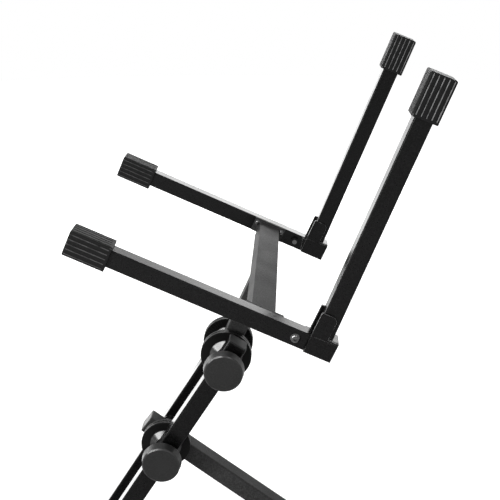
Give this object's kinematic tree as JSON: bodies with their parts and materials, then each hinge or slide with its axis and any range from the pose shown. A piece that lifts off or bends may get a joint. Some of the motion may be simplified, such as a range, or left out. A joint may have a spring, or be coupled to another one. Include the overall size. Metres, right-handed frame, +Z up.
{
  "type": "amp stand",
  "caption": "Tilt-back amplifier stand: fold-down back arms, toothed tilt clutches with knobs, and a spreading two-part leg frame on foot bars with rubber caps.",
  "frame": {"origin": "on the floor, at the centre of the bounding box's base", "axes": "+Z up, +X towards the back of the stand, where the back arms stand, +Y from the knob side to the far side"},
  "size_m": [0.5897, 0.4526, 0.9322],
  "materials": {
    "frame_paint": "black powder coat, satin",
    "rubber": "moulded black rubber, ribbed",
    "clutch_disc": "moulded black, satin",
    "knob": "moulded black, fine grain",
    "end_plug": "moulded black plug",
    "black_fastener": "black oxide steel, oiled",
    "zinc_fastener": "zinc plated steel"
  },
  "bodies": {
    "front_legs": {"front_leg_tube_near": "frame_paint", "front_leg_tube_far": "frame_paint", "front_leg_plug_near": "end_plug", "front_leg_plug_far": "end_plug", "front_foot_bar": "frame_paint", "front_foot_cap_near": "rubber", "front_foot_cap_far": "rubber", "tilt_clutch_outer_near": "clutch_disc", "tilt_clutch_outer_far": "clutch_disc", "leg_clutch_outer_near": "clutch_disc", "leg_clutch_outer_far": "clutch_disc", "tilt_clutch_bolt": "black_fastener", "leg_clutch_bolt": "black_fastener", "tilt_clutch_springs": "zinc_fastener", "leg_clutch_springs": "zinc_fastener"},
    "rear_leg": {"rear_leg_tube": "frame_paint", "rear_leg_plug": "end_plug", "rear_foot_bar": "frame_paint", "rear_foot_cap_near": "rubber", "rear_foot_cap_far": "rubber", "leg_clutch_inner_near": "clutch_disc", "leg_clutch_inner_far": "clutch_disc"},
    "head": {"head_post": "frame_paint", "head_post_plug": "end_plug", "cross_bar": "frame_paint", "cross_bar_bolts": "black_fastener", "cross_bar_nuts": "zinc_fastener", "base_arm_near": "frame_paint", "base_arm_far": "frame_paint", "base_arm_cap_near": "rubber", "base_arm_cap_far": "rubber", "hinge_bracket_near": "frame_paint", "hinge_bracket_far": "frame_paint", "bracket_bolts": "black_fastener", "bracket_nuts": "black_fastener", "hinge_pin_near": "frame_paint", "hinge_pin_far": "frame_paint", "tilt_clutch_inner_near": "clutch_disc", "tilt_clutch_inner_far": "clutch_disc"},
    "back_arm_near": {"back_arm_near": "frame_paint", "back_arm_cap_near": "rubber"},
    "back_arm_far": {"back_arm_far": "frame_paint", "back_arm_cap_far": "rubber"},
    "tilt_washer": {"tilt_knob_washer": "zinc_fastener"},
    "tilt_knob": {"tilt_knob": "knob", "tilt_knob_nut": "zinc_fastener"},
    "leg_washer": {"leg_knob_washer": "zinc_fastener"},
    "leg_knob": {"leg_knob": "knob", "leg_knob_nut": "zinc_fastener"}
  },
  "joints": [
    {"name": "head_tilt", "type": "hinge", "parent": "front_legs", "child": "head", "pos_m": [-0.00267, 0, 0.4602], "axis": [0, 1, 0], "range_deg": [-82, 36]},
    {"name": "leg_spread", "type": "hinge", "parent": "front_legs", "child": "rear_leg", "pos_m": [-0.102, 0, 0.3], "axis": [0, 1, 0], "range_deg": [-15, 77]},
    {"name": "back_arm_near_fold", "type": "hinge", "parent": "head", "child": "back_arm_near", "pos_m": [0.14747, 0, 0.59142], "axis": [0, -1, 0], "range_deg": [0, 86.7]},
    {"name": "back_arm_far_fold", "type": "hinge", "parent": "head", "child": "back_arm_far", "pos_m": [0.14747, 0, 0.59142], "axis": [0, -1, 0], "range_deg": [0, 86.7]},
    {"name": "tilt_knob_travel", "type": "slide", "parent": "front_legs", "child": "tilt_washer", "axis": [0, -1, 0], "range_m": [0, 0.0016]},
    {"name": "tilt_knob_turn", "type": "hinge", "parent": "tilt_washer", "child": "tilt_knob", "pos_m": [-0.00267, 0, 0.4602], "axis": [0, -1, 0], "range_deg": [0, 360]},
    {"name": "leg_knob_travel", "type": "slide", "parent": "front_legs", "child": "leg_washer", "axis": [0, -1, 0], "range_m": [0, 0.0016]},
    {"name": "leg_knob_turn", "type": "hinge", "parent": "leg_washer", "child": "leg_knob", "pos_m": [-0.102, 0, 0.3], "axis": [0, -1, 0], "range_deg": [0, 360]}
  ],
  "couplings": [
    {"joint": "tilt_knob_travel", "follows": "tilt_knob_turn", "m_per_rad": 0.00023873},
    {"joint": "leg_knob_travel", "follows": "leg_knob_turn", "m_per_rad": 0.00023873}
  ]
}
